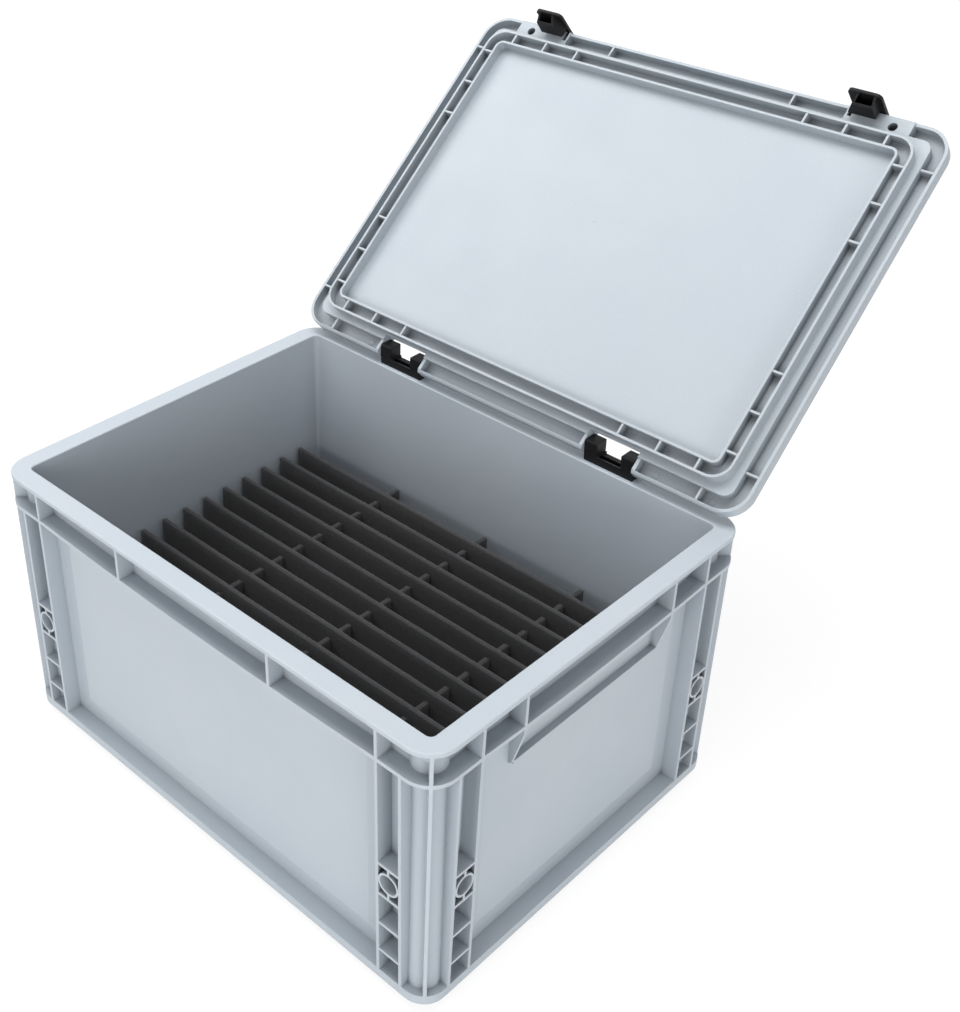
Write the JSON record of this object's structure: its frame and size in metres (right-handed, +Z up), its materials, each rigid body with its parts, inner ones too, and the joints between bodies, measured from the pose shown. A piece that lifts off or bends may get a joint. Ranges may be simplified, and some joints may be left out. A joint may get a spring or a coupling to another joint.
{
  "type": "phone locker box",
  "caption": "Lidded storage box with ribbed plastic sides, two snap catches and a foam insert that stands mobile phones upright in rows.",
  "frame": {"origin": "on the floor, under the middle of the box's footprint", "axes": "+X along the 400 mm length towards the right-hand short side seen from the front, +Y across the width towards the hinged side, +Z up"},
  "size_m": [0.4, 0.516, 0.4342],
  "materials": {
    "body_plastic": "fine-grained moulded polypropylene, light blue-grey",
    "lid_plastic": "satin moulded polypropylene, light blue-grey",
    "black_plastic": "satin moulded black polypropylene",
    "insert_foam": "black closed-cell foam, dull and slightly porous"
  },
  "bodies": {
    "box": {"box_body": "body_plastic", "hinge_left": "black_plastic", "hinge_right": "black_plastic", "base_pad": "insert_foam", "row_board_01": "insert_foam", "row_board_02": "insert_foam", "row_board_03": "insert_foam", "row_board_04": "insert_foam", "row_board_05": "insert_foam", "row_board_06": "insert_foam", "row_board_07": "insert_foam", "row_board_08": "insert_foam", "row_board_09": "insert_foam", "row_board_10": "insert_foam", "row_board_11": "insert_foam", "row_board_12": "insert_foam", "column_board_left": "insert_foam", "column_board_middle": "insert_foam", "column_board_right": "insert_foam"},
    "lid": {"lid": "lid_plastic"},
    "catch_left": {"catch_left": "black_plastic"},
    "catch_right": {"catch_right": "black_plastic"}
  },
  "joints": [
    {"name": "lid_hinge", "type": "hinge", "parent": "box", "child": "lid", "pos_m": [0, 0.1439, 0.2158], "axis": [1, 0, 0], "range_deg": [0, 138.5]},
    {"name": "catch_left_hinge", "type": "hinge", "parent": "lid", "child": "catch_left", "pos_m": [-0.13575, 0.36128, 0.40986], "axis": [1, 0, 0], "range_deg": [-80, 0]},
    {"name": "catch_right_hinge", "type": "hinge", "parent": "lid", "child": "catch_right", "pos_m": [0.13575, 0.36128, 0.40986], "axis": [1, 0, 0], "range_deg": [-80, 0]}
  ]
}
